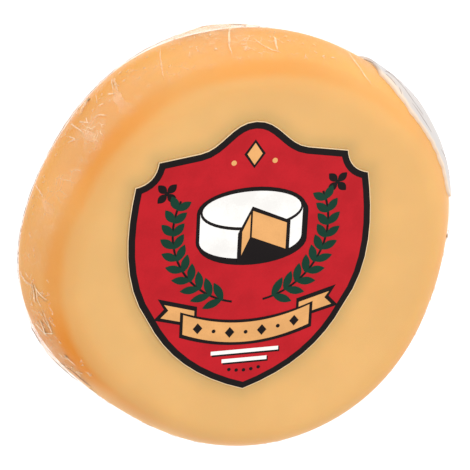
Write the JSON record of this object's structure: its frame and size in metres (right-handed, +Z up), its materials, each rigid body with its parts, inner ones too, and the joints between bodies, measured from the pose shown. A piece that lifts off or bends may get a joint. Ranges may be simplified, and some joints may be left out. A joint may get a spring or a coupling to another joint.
{
  "type": "smoked gouda",
  "caption": "Small round smoked cheese in tight clear film, with a shield-shaped label on its face and a white label round its rim, lying flat.",
  "frame": {"origin": "middle of the underside, on the surface the cheese rests on", "axes": "+Z up out of the labelled face; +X along the width of the face label, to its right; +Y up the face label"},
  "size_m": [0.0986, 0.0994, 0.0305],
  "materials": {
    "film_on_cheese": "smooth pale orange cheese with a deeper smoked edge, under tight clear shrink film",
    "face_label_paper": "satin printed red paper with a black border and a cream edge",
    "rim_label_paper": "plain off-white paper, slightly creased"
  },
  "bodies": {
    "root": {"wrapped_cheese": "film_on_cheese", "face_label": "face_label_paper", "rim_label": "rim_label_paper"}
  },
  "joints": []
}
